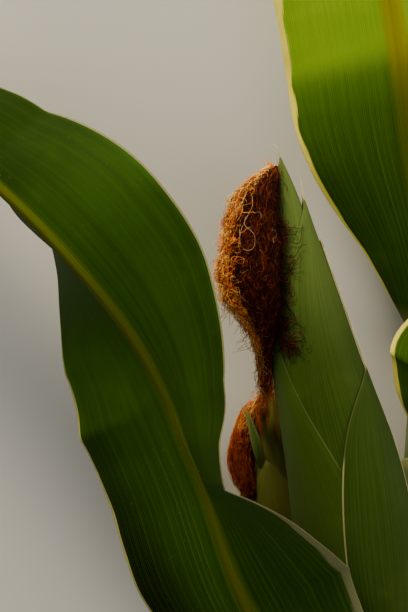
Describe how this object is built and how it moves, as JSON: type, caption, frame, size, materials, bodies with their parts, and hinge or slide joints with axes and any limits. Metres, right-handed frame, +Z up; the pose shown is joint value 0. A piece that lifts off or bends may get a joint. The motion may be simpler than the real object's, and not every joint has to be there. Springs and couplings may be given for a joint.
{
  "type": "cut length of a maize plant",
  "caption": "Cut length of a maize stalk lying flat, with husked ears, hanging rust-brown silk and long arching leaves, for scenes and displays.",
  "frame": {"origin": "under the middle of the plant's box, on the level surface that it lies on", "axes": "+Y up the stalk from its lower cut, +X to the stalk's right seen from above, +Z up from the surface"},
  "size_m": [0.9002, 0.935, 0.1513],
  "materials": {
    "stalk": "smooth green rind, slightly waxy",
    "sheath": "ribbed green leaf sheath",
    "blade": "satin green leaf with fine parallel veins and a pale midrib",
    "husk": "matt grey-green husk with fine lengthwise veins",
    "kernels": "hidden inner husk, kernels and cob",
    "silk": "dry rust-brown and orange silk strands"
  },
  "bodies": {
    "root": {"stalk": "stalk", "left_leaf_sheath": "sheath", "left_leaf_base": "blade", "left_leaf_middle": "blade", "left_leaf_tip": "blade", "top_leaf_sheath": "sheath", "top_leaf_base": "blade", "top_leaf_middle": "blade", "top_leaf_tip": "blade", "right_leaf_sheath": "sheath", "right_leaf_base": "blade", "right_leaf_middle": "blade", "right_leaf_tip": "blade", "upper_leaf_sheath": "sheath", "upper_leaf_base": "blade", "upper_leaf_middle": "blade", "upper_leaf_tip": "blade", "main_ear_stem": "stalk", "second_ear_stem": "stalk", "main_ear_core": "kernels", "second_ear_core": "kernels", "main_ear_husk_back": "husk", "main_ear_husk_front": "husk", "main_ear_husk_right": "husk", "main_ear_husk_left": "husk", "second_ear_husk_back": "husk", "second_ear_husk_front": "husk", "main_ear_silk": "silk", "second_ear_silk": "silk"}
  },
  "joints": []
}
